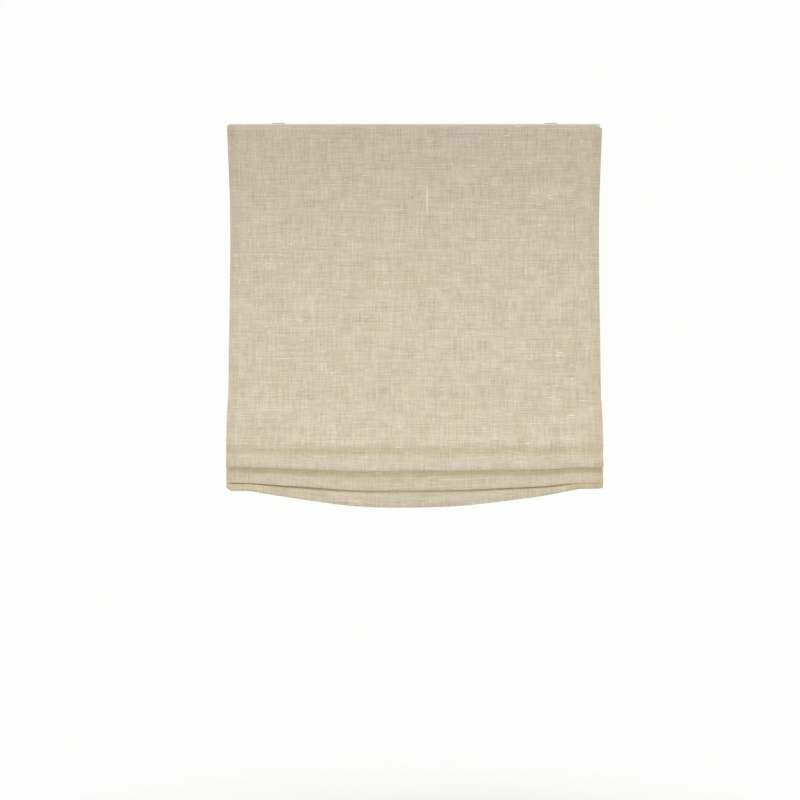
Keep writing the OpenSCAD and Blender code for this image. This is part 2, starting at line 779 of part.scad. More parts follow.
// The steel band: a coil on each drum, and the stretch that crosses from one to the other
module band_section() {
    inner_r = drum_core_r + slip_gap;
    storage_r = inner_r + storage_coil_t;
    output_r = inner_r + output_coil_t;
    span = storage_y - shaft_y;
    tilt = asin((storage_r + output_r - 2 * band_t) / span);
    reach = sqrt(span ^ 2 - (storage_r + output_r - 2 * band_t) ^ 2);
    difference() {
        union() {
            circle(r = output_r);
            translate([span, 0]) circle(r = storage_r);
            rotate(tilt) translate([0, -output_r + band_t / 2]) square([reach, band_t]);
        }
        circle(r = inner_r);
        translate([span, 0]) circle(r = inner_r);
    }
}

module spring_band() {
    color(steel_colour) on_shaft() along_x(band_w) band_section();
}

// Bottom rod

clip_mouth_share = 0.8;

// The barrel holds the end of the cord, and the clip under it snaps over the rod
module cord_lock(side) {
    shoulder = lock_barrel_d / 6;
    barrel_z = lock_top_z - lock_h;
    clip_mouth = clip_mouth_share * rod_d;
    color(clear_plastic_colour)
        at_column(side)
            translate([0, cord_y, 0])
                difference() {
                    union() {
                        translate([0, 0, barrel_z])
                            rotate_extrude()
                                polygon([
                                    [0, 0], [lock_barrel_d / 2, 0], [lock_barrel_d / 2, lock_h - shoulder],
                                    [lock_barrel_d / 2 - shoulder, lock_h], [0, lock_h]]);
                        translate([0, 0, rod_z]) bar_x(lock_clip_d, lock_clip_l);
                    }
                    translate([0, 0, lock_top_z - lock_bore_l])
                        cylinder(d = cord_d + 2 * seat_gap, h = lock_bore_l + overrun);
                    translate([0, 0, rod_z]) bar_x(rod_d + 2 * running_gap, lock_clip_l + 2 * overrun);
                    translate([-lock_clip_l / 2 - overrun, 0, rod_z - clip_mouth / 2])
                        cube([lock_clip_l + 2 * overrun, lock_clip_d, clip_mouth]);
                }
}

module bottom_rod() {
    color(white_metal_colour) translate([0, cord_y, rod_z]) bar_x(rod_d, 2 * rod_half);
}

// A thimble with a rounded nose on each end of the rod
module rod_tip(side) {
    outer_r = rod_d / 2 + rod_tip_wall;
    bore_r = rod_d / 2 + snug_gap;
    nose = rod_tip_wall;
    sleeve_l = rod_tip_l - rod_tip_wall;
    color(white_plastic_colour)
        translate([side * (rod_half + snug_gap), cord_y, rod_z])
            rotate([0, side * 90, 0])
                rotate_extrude()
                    polygon(concat(
                        [[0, 0], [bore_r, 0], [bore_r, -sleeve_l], [outer_r, -sleeve_l]],
                        arc_points([outer_r - nose, 0], nose, 0, 90, 4),
                        [[0, nose]]));
}

headrail();
end_cap(-1);  // end_cap_left
end_cap(1);  // end_cap_right
mounting_bracket(-1);  // mounting_bracket_left
mounting_bracket(1);  // mounting_bracket_right
hook_tape();
loop_tape();
shade_fabric();
lift_shaft();
shaft_collar(-1);  // shaft_collar_left
shaft_collar(1);  // shaft_collar_right
cord_spool(-1);  // cord_spool_left
cord_spool(1);  // cord_spool_right
cord_winding(-1);  // cord_winding_left
cord_winding(1);  // cord_winding_right
spool_cradle(-1);  // spool_cradle_left
spool_cradle(1);  // spool_cradle_right
motor_housing();
motor_cover();
output_drum();
storage_drum();
spring_band();
lift_cord(-1);  // lift_cord_left
lift_cord(1);  // lift_cord_right
panel_ring(-1, 2);  // upper_ring_left
panel_ring(1, 2);  // upper_ring_right
panel_ring(-1, 1);  // middle_ring_left
panel_ring(1, 1);  // middle_ring_right
panel_ring(-1, 0);  // lower_ring_left
panel_ring(1, 0);  // lower_ring_right
gathered_ring(-1, 0);  // first_gathered_ring_left
gathered_ring(1, 0);  // first_gathered_ring_right
gathered_ring(-1, 1);  // second_gathered_ring_left
gathered_ring(1, 1);  // second_gathered_ring_right
gathered_ring(-1, 2);  // third_gathered_ring_left
gathered_ring(1, 2);  // third_gathered_ring_right
cord_lock(-1);  // cord_lock_left
cord_lock(1);  // cord_lock_right
bottom_rod();
rod_tip(-1);  // rod_tip_left
rod_tip(1);  // rod_tip_right
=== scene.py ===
# %% [markdown]
# # A relaxed Roman shade in linen
# The shade hangs from a slim metal headrail and is partly raised, so its lower end lies in two soft folds
# above a drooping hem. The packed model already holds every rigid piece in its place. This lesson dresses
# it: a woven sheet takes the place of the plain cloth solid, cords and stitches are added, and every piece
# gets a finish made of shader nodes. The model is loaded first, because everything is placed by it.

import bpy
import numpy as np
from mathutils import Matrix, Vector


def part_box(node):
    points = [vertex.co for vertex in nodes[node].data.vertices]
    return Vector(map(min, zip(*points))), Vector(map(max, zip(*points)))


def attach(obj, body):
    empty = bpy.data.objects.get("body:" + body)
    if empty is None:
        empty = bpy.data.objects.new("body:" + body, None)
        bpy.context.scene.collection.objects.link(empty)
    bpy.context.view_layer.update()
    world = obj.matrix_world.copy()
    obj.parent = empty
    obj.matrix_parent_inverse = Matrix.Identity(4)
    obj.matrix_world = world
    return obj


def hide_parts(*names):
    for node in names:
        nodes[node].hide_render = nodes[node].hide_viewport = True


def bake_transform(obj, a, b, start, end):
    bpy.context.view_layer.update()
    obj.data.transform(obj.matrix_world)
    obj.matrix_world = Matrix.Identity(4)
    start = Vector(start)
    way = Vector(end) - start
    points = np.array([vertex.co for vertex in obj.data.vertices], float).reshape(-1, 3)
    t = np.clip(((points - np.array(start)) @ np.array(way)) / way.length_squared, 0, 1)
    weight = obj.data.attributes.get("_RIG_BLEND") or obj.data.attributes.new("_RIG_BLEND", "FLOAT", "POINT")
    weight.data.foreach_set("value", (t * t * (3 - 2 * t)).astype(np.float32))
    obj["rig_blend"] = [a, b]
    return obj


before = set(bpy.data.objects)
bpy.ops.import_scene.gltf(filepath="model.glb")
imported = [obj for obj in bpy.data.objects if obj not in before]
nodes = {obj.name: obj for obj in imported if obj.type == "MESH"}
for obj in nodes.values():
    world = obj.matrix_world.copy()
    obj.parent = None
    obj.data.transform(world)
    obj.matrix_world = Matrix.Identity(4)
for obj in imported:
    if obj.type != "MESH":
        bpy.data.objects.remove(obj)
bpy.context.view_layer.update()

# %% [markdown]
# ## From arrays to meshes
# Cloth is a sheet and a cord is a tube, and both are grids of points. One could model them by hand with
# subdivision, but a grid worked out as an array keeps the exact dimensions of the drawing. Four helpers
# are enough: one joins a grid's points into quads, one brings vectors to length one, one wraps a path in
# circles, and one turns arrays into an object. The last one also measures the volume inside the faces, so
# that they always point outwards.

# %% Grids and tubes
def grid_quads(rows, columns):
    """Joins each point to the next one round its row and to both in the row below; every row is closed."""
    row = np.arange(rows - 1)[:, None]
    here = np.arange(columns)[None, :]
    after = (here + 1) % columns
    low, high = row * columns, (row + 1) * columns
    return np.stack([low + here, low + after, high + after, high + here], -1).reshape(-1, 4)


def unit(v):
    """Each vector divided by its own length."""
    return v / np.linalg.norm(v, axis=-1, keepdims=True)


def tube(path, side, radius, sides):
    """Circles across a path: two directions square to it, weighed by the cosine and sine of the turn."""
    ahead = np.gradient(path, axis=0)
    first = unit(np.cross(ahead, side))
    second = unit(np.cross(ahead, first))
    turn = np.linspace(0, 2 * np.pi, sides, endpoint=False)[None, :, None]
    points = path[:, None] + radius * (np.cos(turn) * first[:, None] + np.sin(turn) * second[:, None])
    ring = np.arange(sides)
    caps = np.array([ring[::-1], (len(path) - 1) * sides + ring])
    return points.reshape(-1, 3), grid_quads(len(path), sides), caps


print("three rows of four points make", len(grid_quads(3, 4)), "quads")

# %% Pieces
def make_piece(name, points, *face_arrays):
    """A smooth mesh object.

    Its volume is the sum of the fans of its faces, and a negative one turns them round.
    """
    volume = 0.0
    for faces in face_arrays:
        corner = points[faces]
        for j in range(1, faces.shape[1] - 1):
            volume += np.sum(corner[:, 0] * np.cross(corner[:, j], corner[:, j + 1])) / 6
    if volume < 0:
        face_arrays = [faces[:, ::-1] for faces in face_arrays]
    mesh = bpy.data.meshes.new(name)
    mesh.from_pydata(points.tolist(), [], [face for faces in face_arrays for face in faces.tolist()])
    mesh.shade_smooth()
    piece = bpy.data.objects.new(name, mesh)
    bpy.context.scene.collection.objects.link(piece)
    print(f"{name}: {len(points)} points, {abs(volume) * 1e6:.2f} cubic centimetres")
    return piece


print("pieces are linked to", bpy.context.scene.collection.name)

# %% [markdown]
# ## Shader maths as arithmetic
# A finish is a small network of nodes. Wiring it link by link hides the idea, so one class wraps a socket
# and lets it be added, multiplied and divided like a number. Each operation adds the Math node it needs.
# Every other node comes from one method that takes its type, the values of its sockets and its settings.

# %% A socket that can be calculated with
class Wire:
    """An output socket of a finish. Arithmetic on it adds Math nodes."""

    def __init__(self, finish, socket):
        self.finish, self.socket = finish, socket

    def out(self, name):
        """Another output of the same node."""
        return Wire(self.finish, self.socket.node.outputs[name])

    def math(self, operation, *values, clamp=False):
        sockets = dict(enumerate(values))
        return self.finish.node("ShaderNodeMath", sockets, {"operation": operation, "use_clamp": clamp})

    def __add__(self, other):
        return self.math("ADD", self, other)

    def __sub__(self, other):
        return self.math("SUBTRACT", self, other)

    def __rsub__(self, other):
        return self.math("SUBTRACT", other, self)

    def __mul__(self, other):
        return self.math("MULTIPLY", self, other)

    def __truediv__(self, other):
        return self.math("DIVIDE", self, other)

    __radd__, __rmul__ = __add__, __mul__

    def sine(self):
        return self.math("SINE", self)

    def size(self):
        return self.math("ABSOLUTE", self)

    def held(self):
        """The value kept between 0 and 1."""
        return self.math("ADD", self, 0.0, clamp=True)


print("a wire has", len([name for name in vars(Wire) if callable(getattr(Wire, name))]), "methods")

# %% A finish, and the one method that adds a node
class Finish:
    """A material. Constants go straight to the sockets of its shader, and what varies is linked with feed."""

    def __init__(self, name, **constants):
        self.material = bpy.data.materials.new(name)
        self.material.use_nodes = True
        self.tree = self.material.node_tree
        self.shader = self.tree.nodes["Principled BSDF"]
        for socket, value in constants.items():
            self.shader.inputs[socket.replace("_", " ")].default_value = value

    def node(self, kind, sockets=None, settings=None, output=0):
        """Adds a node with its settings, then its sockets from numbers, colours or wires; gives an output."""
        made = self.tree.nodes.new(kind)
        for name, value in (settings or {}).items():
            setattr(made, name, value)
        for name, value in (sockets or {}).items():
            self.plug(made.inputs[name], value)
        return Wire(self, made.outputs[output])

    def plug(self, socket, value):
        if isinstance(value, Wire):
            self.tree.links.new(value.socket, socket)
        else:
            socket.default_value = value

    def feed(self, **wires):
        for name, wire in wires.items():
            self.plug(self.shader.inputs[name.replace("_", " ")], wire)

    def place(self):
        """Object coordinates as three wires, in metres."""
        spot = self.node("ShaderNodeTexCoord").out("Object")
        parts = self.node("ShaderNodeSeparateXYZ", {"Vector": spot})
        return parts.out("X"), parts.out("Y"), parts.out("Z")

    def carried(self, name):
        """A number that the mesh carries on its points."""
        return self.node("ShaderNodeAttribute", settings={"attribute_name": name}).out("Fac")

    def noise(self, across, along, detail=1.0, deep=0.0):
        """Noise about zero on two or three scaled coordinates: one cell is one unit of each."""
        spot = self.node("ShaderNodeCombineXYZ", {"X": across, "Y": along, "Z": deep})
        sockets = {"Vector": spot, "Scale": 1.0, "Detail": detail, "Roughness": 0.55}
        return self.node("ShaderNodeTexNoise", sockets, {"noise_dimensions": "3D"}) - 0.5

    def mix(self, share, first, second, blend="MIX"):
        """Two colours blended. A Mix node's colour sockets are its inputs 6 and 7 and its output 2."""
        settings = {"data_type": "RGBA", "blend_type": blend}
        return self.node("ShaderNodeMix", {0: share, 6: first, 7: second}, settings, 2)

    def bump(self, height, depth, strength):
        """A bump whose height is a share of depth, in metres."""
        return self.node("ShaderNodeBump", {"Height": height, "Distance": depth, "Strength": strength})


print("a finish has", len([name for name in vars(Finish) if callable(getattr(Finish, name))]), "methods")

# %% [markdown]
# ## The run of the cloth
# The linen is one piece from the headrail to the hem. Down the panel it hangs flat. Below, the lift cords
# have gathered it: it leans out over the stack, bulges into the front fold, goes back up to the first
# ring, down into the second fold, up again, into a hidden fold, and at last down to the hem. A cloth
# simulation would find such a path, but not the exact one. So the path is a spline through knots, with
# the same values as the drawing, in millimetres: side inset, depth, height, droop at mid width, and slant.

# %% Values of the drawing and the knots' small helpers
fabric_w, fabric_top, side_bow, fabric_y, cord_x = 902.0, 6.5, 8.0, -24.75, 395.0
gather_z = (-762.0, -775.0, -788.0)
front_z, second_z, inner_z, hem_z = -828.0, -871.0, -862.0, -880.0
gather_droop, front_droop, second_droop, hem_droop, hem_slant = 7.0, 9.0, 16.0, 43.0, 6.0
panel_end_z, fold_belly, layer_gap, layer_pitch, head_w = -659.0, 10.5, 0.8, 1.7, 3.5
ring_hold, head_leg = 2.5, 4.0


def lerp(a, b, share):
    return a + (b - a) * share


def layer_y(m):
    """Depth of layer m of the stack, counted from the cords towards the room."""
    return fabric_y - (0 if m == 0 else head_w + (m - 1) * layer_pitch)


def knot(y, z, droop=0.0, inset=0.0, slant=0.0):
    return [inset, y, z, droop, slant]


def turn(y_in, y_out, end_z, leg, droop):
    """Four knots of a turn. The spline reaches a twenty-fourth of the leg short of the middle pair."""
    z = end_z - leg / 24
    return [knot(y_in, z + leg, droop), knot(y_in, z, droop),
            knot(y_out, z, droop), knot(y_out, z + leg, droop)]


def limb(m, level, way):
    """Two knots where a limb passes a gathered ring in layer m; way is 1 going down and -1 going up."""
    return [knot(layer_y(m), gather_z[level] + way * hold, gather_droop) for hold in (ring_hold, -ring_hold)]


def fold_head(level):
    """The turn over a gathered ring, where the ring is sewn to the linen."""
    return turn(layer_y(1), layer_y(0), gather_z[level] + ring_hold, -head_leg, gather_droop)


print(f"stack of {abs(layer_y(6) - fabric_y):.1f} mm in front of the panel's plane")

# %% Knots of the panel and of the front fold
panel_shares = (0, 0.12, 0.28, 0.46, 0.64, 0.8, 0.93, 1)
bow_shares = (0, 0.35, 0.95, 1, 0.85, 0.6, 0.45, 0.4)
panel = [knot(fabric_y, lerp(-fabric_top, panel_end_z, share), 0, side_bow * bow)
         for share, bow in zip(panel_shares, bow_shares)]
lean_z, tuck_z = panel_end_z - 12.4, gather_z[2] - 7
lean_end_z = lerp(lean_z, gather_z[0], 0.9)
front_rear = layer_y(5) - layer_gap
front_belly = front_rear - fold_belly
front = [
    knot(fabric_y, lean_z, 0, side_bow * 0.2),
    knot(lerp(fabric_y, layer_y(6), 0.5), lerp(lean_z, gather_z[0], 0.45), gather_droop * 0.15),
    knot(layer_y(6) - 1.6, lean_end_z, gather_droop * 0.3),
    knot(layer_y(6) - 4.0, lerp(lean_end_z, tuck_z, 0.5), gather_droop * 0.4),
    knot(layer_y(6) + 0.8, tuck_z, gather_droop * 0.4),
    knot(lerp(layer_y(6), front_belly, 0.66), lerp(tuck_z, front_z, 0.32),
         lerp(gather_droop * 0.4, front_droop, 0.5)),
    *turn(front_belly, front_rear, front_z, 13.0, front_droop), *limb(5, 2, -1), *limb(3, 1, -1)]
print(f"panel {len(panel)} knots, front fold {len(front)} knots")

# %% Knots of the second fold and of the hidden fold
second_rear = layer_y(3) - layer_gap
second_belly = second_rear - 0.7 * fold_belly
second = [
    *fold_head(0), *limb(2, 1, 1), *limb(4, 2, 1),
    knot(layer_y(4) - layer_gap / 2, lerp(gather_z[2], front_z, 0.7), front_droop),
    knot(layer_y(4) - layer_gap, front_z - 1, lerp(front_droop, second_droop, 0.15)),
    knot(layer_y(4) - 2 * layer_gap, lerp(front_z, second_z, 0.3), lerp(front_droop, second_droop, 0.5)),
    knot(lerp(second_rear, second_belly, 0.75), lerp(front_z, second_z, 0.6), second_droop),
    *turn(second_belly, second_rear, second_z, 11.0, second_droop),
    knot(second_rear, lerp(gather_z[2], second_z, 0.45), lerp(gather_droop, second_droop, 0.45)),
    *limb(3, 2, -1)]
inner_rear = layer_y(1) - layer_gap / 2
inner_front = inner_rear - 2.2
inner = [
    *fold_head(1), *limb(2, 2, 1),
    knot(lerp(layer_y(2), inner_front, 0.5), lerp(gather_z[2], inner_z, 0.5),
         lerp(gather_droop, second_droop, 0.5)),
    *turn(inner_front, inner_rear, inner_z, 2.6, second_droop),
    knot(layer_y(1), lerp(gather_z[2], inner_z, 0.4), lerp(gather_droop, second_droop, 0.4))]
print(f"second fold {len(second)} knots, hidden fold {len(inner)} knots")

# %% Knots of the skirt, from the last ring to the hem
hem_reach = layer_y(2) - 5.5
skirt = [*fold_head(2)] + [
    knot(y, lerp(top, foot, down), lerp(gather_droop, hem_droop, sag), 0, hem_slant * slant)
    for y, top, foot, down, sag, slant in (
        (layer_y(0), gather_z[2], inner_z, 0.35, 0.12, 0),
        (layer_y(0) - layer_gap, gather_z[2], inner_z, 0.8, 0.3, 0),
        (layer_y(0) - 2 * layer_gap, inner_z, hem_z, 0.1, 0.45, 0),
        (layer_y(2) - 0.5, inner_z, hem_z, 0.5, 0.64, 0.25),
        (hem_reach, inner_z, hem_z, 0.78, 0.84, 0.6),
        (hem_reach - 0.5, inner_z, hem_z, 0.9, 0.94, 1),
        (hem_reach + 1.8, inner_z, hem_z, 1, 1, 1))]
knots = np.array(panel + front + second + inner + skirt, float)
print(f"{len(knots)} knots in all")

# %% [markdown]
# ## The sheet
# A row of the sheet is a closed line: along the front from left to right, round the selvedge, and back
# along the reverse. The rows follow the spline, so the whole cloth is one closed skin. Its sides, top and
# bottom are turned in and sewn, so it is thicker there, which shows as a step on the reverse. A modifier
# could thicken a single surface, but then hems and open cloth would be alike.
# Real cloth also gives. The panel swells a little between its fastenings, the brow above the front fold and
# the face of the second fold bulge, the skirt under them stands out while its edge curls back, and the
# corners of the hem lift. Each of these is a wave or a bell added to the depth or the height.

# %% The spline
def spline(knots, steps):
    """Uniform cubic spline: sums of four neighbouring knots at a time.

    For a point the knots are weighed by cubic shares, and for its direction by the slopes of those shares.
    """
    p = np.vstack([2 * knots[0] - knots[1], knots, 2 * knots[-1] - knots[-2]])
    spot = np.arange((len(knots) - 1) * steps + 1) / steps
    i = np.minimum(spot.astype(int), len(knots) - 2)
    t = (spot - i)[:, None]
    shares = ((1 - t) ** 3, 3 * t ** 3 - 6 * t ** 2 + 4, -3 * t ** 3 + 3 * t ** 2 + 3 * t + 1, t ** 3)
    slopes = (-(1 - t) ** 2, 3 * t ** 2 - 4 * t, -3 * t ** 2 + 2 * t + 1, t ** 2)
    at = sum(share * p[i + k] for k, share in enumerate(shares)) / 6
    way = sum(slope * p[i + k] for k, slope in enumerate(slopes)) / 2
    return at, way


steps = 6
at, way = spline(knots, steps)
run = np.concatenate([[0], np.cumsum(np.hypot(np.diff(at[:, 1]), np.diff(at[:, 2] - at[:, 3] / 2)))])
rows = len(run)
print(f"{rows} rows; the cloth is {run[-1]:.0f} mm long from top to hem")

# %% Columns and thickness
side_hem_w, head_hem_w, foot_hem_w = 21, 30, 40
cloth_t, turning_t = 0.6, 0.3
edge_half = np.concatenate([[0.5, 2.5, 8, 14, 20.3, 21.7], np.linspace(30, fabric_w / 2, 46)])
edge = np.concatenate([edge_half, edge_half[-2::-1]])
u = np.concatenate([2 * edge_half / fabric_w - 1, 1 - 2 * edge_half[-2::-1] / fabric_w])
smile = np.cos(np.pi / 2 * np.minimum(1, np.abs(u) * fabric_w / 2 / cord_x))
left = (1 - u) / 2
s = run[:, None]
hem_gap = run[-1] - s
doubled = np.maximum(edge < side_hem_w, np.maximum(s < head_hem_w, hem_gap < foot_hem_w))
thickness = cloth_t + turning_t * doubled
print(f"{len(u)} columns; {thickness.min()} mm thick, {thickness.max():.1f} mm at the hems")

# %% Slow swells of the panel and waves of the stack
def ease(t):
    """0 below 0, 1 above 1, and a smooth step between."""
    t = np.clip(t, 0, 1)
    return t * t * (3 - 2 * t)


def bell(distance, reach):
    """1 at no distance, about a third at the reach, and next to nothing at twice the reach."""
    return np.exp(-((distance / reach) ** 2))


# All lengths of waves and reaches of bells are in millimetres.
x = u * (fabric_w / 2 - at[:, :1])
stack_top, stack_blend, cord_reach = -640, 120, 60
stacked = ease((stack_top - at[:, 2:3]) / stack_blend)
loose = 1 - bell(np.abs(x) - cord_x, cord_reach)
swell = loose * ease(s / 130) * ease((700 - s) / 150) * (
    0.8 + 0.5 * np.sin(x / 62 + 0.9 * np.sin(s / 120)) + 0.3 * np.sin(x / 27 + s / 210 + 1.0))
sway = loose * stacked * (1.1 * np.sin(x / 83 + 0.6) + 0.6 * np.sin(x / 37 + 2.1))
print(f"panel swells up to {swell.max():.1f} mm, stack sways up to {np.abs(sway).max():.1f} mm")

# %% How the folds, the skirt and the corners give
second_start = len(panel) + len(front)
brow_s, belly_s = run[steps * (len(panel) + 3)], run[steps * (second_start + 12)]
foot_s = run[steps * (second_start + 13) + steps // 2]
brow_out, face_out, curl_in = 4.5, 2.6, 2.5
skirt_out, skirt_up, foot_up = 4.5 + 2.0 * smile, 5.5 - 2.5 * smile, 2.5 + 2.5 * (1 - smile)
swell = swell + brow_out * bell(s - brow_s, 16) + face_out * bell(s - belly_s + 16, 10)
swell = (swell + skirt_out * ease(1 - np.abs(hem_gap - 14 - 9 * smile) / (12 + 7 * smile))
         - curl_in * smile * ease(1 - hem_gap / 8))
rise = foot_up * bell(s - foot_s, 24) + skirt_up * bell(hem_gap - 14 - 8 * smile, 9)
# The hem's corners lift, the left one more, and the top right corner hangs down a little.
corner_up, corner_down = 8, 8
corner = corner_up * ease(1 - hem_gap / 60) * np.clip(1 - edge / 14, 0, 1) ** 2 * np.where(u < 0, 1.0, 0.3)
clip = corner_down * (s < 1) * np.clip(1 - edge / 17, 0, 1) * (u > 0)
print(f"folds and skirt stand out up to {swell.max():.1f} mm and rise up to {rise.max():.1f} mm")

# %% Front, reverse and selvedge as one skin
def cloth_points(offset):
    """The cloth's middle surface moved along its normal.

    The normal is the direction of the run turned by a quarter, in depth and height.
    """
    dy = way[:, 1:2]
    dz = way[:, 2:3] - way[:, 3:4] * smile - way[:, 4:5] * left
    size = np.hypot(dy, dz)
    y = at[:, 1:2] - swell + offset * dz / size
    z = at[:, 2:3] - at[:, 3:4] * smile - at[:, 4:5] * left + sway + rise + corner - clip - offset * dy / size
    return np.stack(np.broadcast_arrays(x, y, z), -1) / 1000


front_offset, rounding = 0.45, 0.0005
front_face = cloth_points(front_offset)
reverse = cloth_points(front_offset - thickness)
to_sides = np.array([[-rounding, 0, 0], [rounding, 0, 0]])
selvedge = (front_face[:, [0, -1]] + reverse[:, [0, -1]]) / 2 + to_sides
skin = np.concatenate([front_face, selvedge[:, 1:], reverse[:, ::-1], selvedge[:, :1]], 1)
c, m = len(u), skin.shape[1]
k = np.arange(c - 1)
cap = np.stack([k + 1, k, 2 * c - k, 2 * c - k - 1], -1)
tips = np.array([[c + 1, c, c - 1], [0, 2 * c + 1, 2 * c]])
last = (rows - 1) * m
end_quads = np.concatenate([cap, cap[:, ::-1] + last])
end_tips = np.concatenate([tips, tips[:, ::-1] + last])
linen_sheet = make_piece("linen_sheet", skin.reshape(-1, 3), grid_quads(rows, m), end_quads, end_tips)

# %% What the sheet's points carry for its finish
def carry(piece, name, values):
    """Stores one number for each point of a mesh."""
    layer = piece.data.attributes.new(name, "FLOAT", "POINT")
    layer.data.foreach_set("value", np.ascontiguousarray(values, np.float32).ravel())


def round_skin(front_values, reverse_values):
    """Values for front, right selvedge, reverse and left selvedge, in the order of the skin's points."""
    ahead, behind = np.broadcast_arrays(front_values, reverse_values)
    return np.concatenate([ahead, behind[:, -1:], behind[:, ::-1], behind[:, :1]], 1)


wide = np.ones((rows, 1)) * edge
carry(linen_sheet, "cloth_drop", -s / 1000 - skin[:, :, 2])
carry(linen_sheet, "edge_gap", round_skin(wide, wide) / 1000)
carry(linen_sheet, "hem_gap", hem_gap / 1000 + 0 * skin[:, :, 2])
# Painted shade: these bells mark where the linen is painted darker and warmer: above the tuck, under the
# front fold, under the second fold and at the hem's edge.
tuck_s, face_s = run[steps * (len(panel) + 4)], run[steps * (second_start + 9)]
painted_crease_shade = (0.5 * bell(s - tuck_s + 8, 11) + 0.9 * bell(s - face_s - 5, 10)
               + 0.8 * bell(hem_gap - 11 - 22 * smile, 9) + 0.4 * bell(hem_gap, 5))
carry(linen_sheet, "painted_crease_shade", round_skin(painted_crease_shade, painted_crease_shade))
carry(linen_sheet, "reverse_side", round_skin(0 * wide, 0 * wide + 1))
print("the sheet carries:", [a.name for a in linen_sheet.data.attributes if not a.name.startswith(".")])

# %% [markdown]
# ## Linen
# Linen yarn is spun unevenly: it swells into slubs and thins again, so a linen weave is never a clean grid.
# A picture of cloth would repeat and blur, so the weave is made of stretched noise. A cell of noise that is
# a thread wide and a hand long looks like one yarn, and cells laid across and along make warp and weft.
# Wider cells give the soft bars that show from afar, the few highest peaks become pale slubs, and one thick
# yarn is placed by itself. Large soft patches lean a little to pink or to green, as undyed flax does. In
# the creases, under the folds and at the hem's edge the colour is painted slightly deeper and warmer. That is
# painted shade, chosen to come close to the warm shadows that light leaves between layers of thin cloth; it
# is not a stain of the cloth itself.
# The weave is measured along the cloth, so it runs through the folds and stays true when the shade moves.

# %% Yarns and slubs
linen = Finish("linen", Roughness=0.92, Sheen_Weight=0.10, Sheen_Roughness=0.45, Specular_IOR_Level=0.2)
across, _, height = linen.place()
along = height + linen.carried("cloth_drop")
warp = linen.noise(across / 0.0012, along / 0.030)
weft = linen.noise(across / 0.030 + 40.0, along / 0.0012)
warp_bars = linen.noise(across / 0.0042 + 80.0, along / 0.10)
weft_bars = linen.noise(across / 0.10 + 20.0, along / 0.0038)
weft_lines = linen.noise(across / 0.22 + 7.0, along / 0.0021)
clouds = linen.noise(across / 0.045 + 60.0, along / 0.035, detail=3.0)
blush = linen.noise(across / 0.070 + 90.0, along / 0.050, detail=2.0)
slub_weft = ((linen.noise(across / 0.026 + 11.0, along / 0.0033, detail=0.0) - 0.265) * 14).held()
slub_warp = ((linen.noise(across / 0.0028 + 31.0, along / 0.026, detail=0.0) - 0.31) * 14).held()
thick_yarn = (1.5 - (across - 0.030).size() / 0.0016).held() * (1.5 - (along + 0.178).size() / 0.025).held()
slub = (slub_weft + slub_warp + thick_yarn).held()
tone = 0.60 * (warp + weft) + 0.33 * (warp_bars + weft_bars + weft_lines) + 0.30 * clouds
print("yarns and slubs use", len(linen.tree.nodes), "nodes")

# %% Hems and sewing thread
line_edge, stitch_wave = 2500, 785.0  # a line 0.8 mm wide, and one stitch in 8 mm


def stitches(gap, row_gap, along_row):
    """A thin line at one distance from an edge, switched on and off along the row by a steep sine."""
    line = (1 - (gap - row_gap).size() * line_edge).held()
    return line * ((along_row * stitch_wave).sine() * 3 + 0.6).held()


edge_gap, turned = linen.carried("edge_gap"), linen.carried("reverse_side")
# Painted shade: the side hems are painted a little darker and tanner, on front and reverse. This stands in
# for the doubled cloth letting less light through from behind than single cloth.
side_hem = ((0.0225 - edge_gap) * 1500).held()
side_row = stitches(edge_gap, 0.0195, along)
thread = (side_row + stitches(linen.carried("hem_gap"), 0.038, across)) * turned
print("with hems and thread,", len(linen.tree.nodes), "nodes")

# %% Colours of the linen, and the sheet in place of the plain solid
hue = (0.5 + 1.1 * blush).held()
dark_yarn = linen.mix(hue, (0.395, 0.312, 0.228, 1), (0.380, 0.327, 0.189, 1))
pale_yarn = linen.mix(hue, (0.920, 0.836, 0.728, 1), (0.890, 0.836, 0.678, 1))
yarn = linen.mix((0.5 + tone).held(), dark_yarn, pale_yarn)
slubbed = linen.mix(slub * 0.8, yarn, (0.92, 0.85, 0.74, 1))
side_hem_shaded = linen.mix(side_hem * 0.16, slubbed, (0.52, 0.41, 0.24, 1))
# Painted shade: the linen is multiplied darker and warmer in the creases, under the folds and at the hem's
# edge.
deep = linen.mix(linen.carried("painted_crease_shade"), side_hem_shaded, (1.0, 0.97, 0.83, 1), "MULTIPLY")
linen.feed(Base_Color=linen.mix(thread, deep, (0.80, 0.74, 0.62, 1)),
           Normal=linen.bump(warp + weft + 0.5 * slub + 1.5 * thread, 0.0006, 0.5))
linen_sheet.data.materials.append(linen.material)
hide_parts("shade_fabric")
fold_start, fold_end = (0, 0, -0.029), (0, 0, -0.762)
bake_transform(linen_sheet, "headrail", "shade_bottom", start=fold_start, end=fold_end)
print(f"linen finished with {len(linen.tree.nodes)} nodes")

# %% [markdown]
# ## Lift cords
# Two thin braided cords run from the spools through all the rings to a lock above the bottom rod. They are
# hidden from the room, but the reverse shows them. A braid could be modelled strand by strand; at just over
# a millimetre thick, a smooth tube with crossing diagonals in its bump is closer to what one sees.

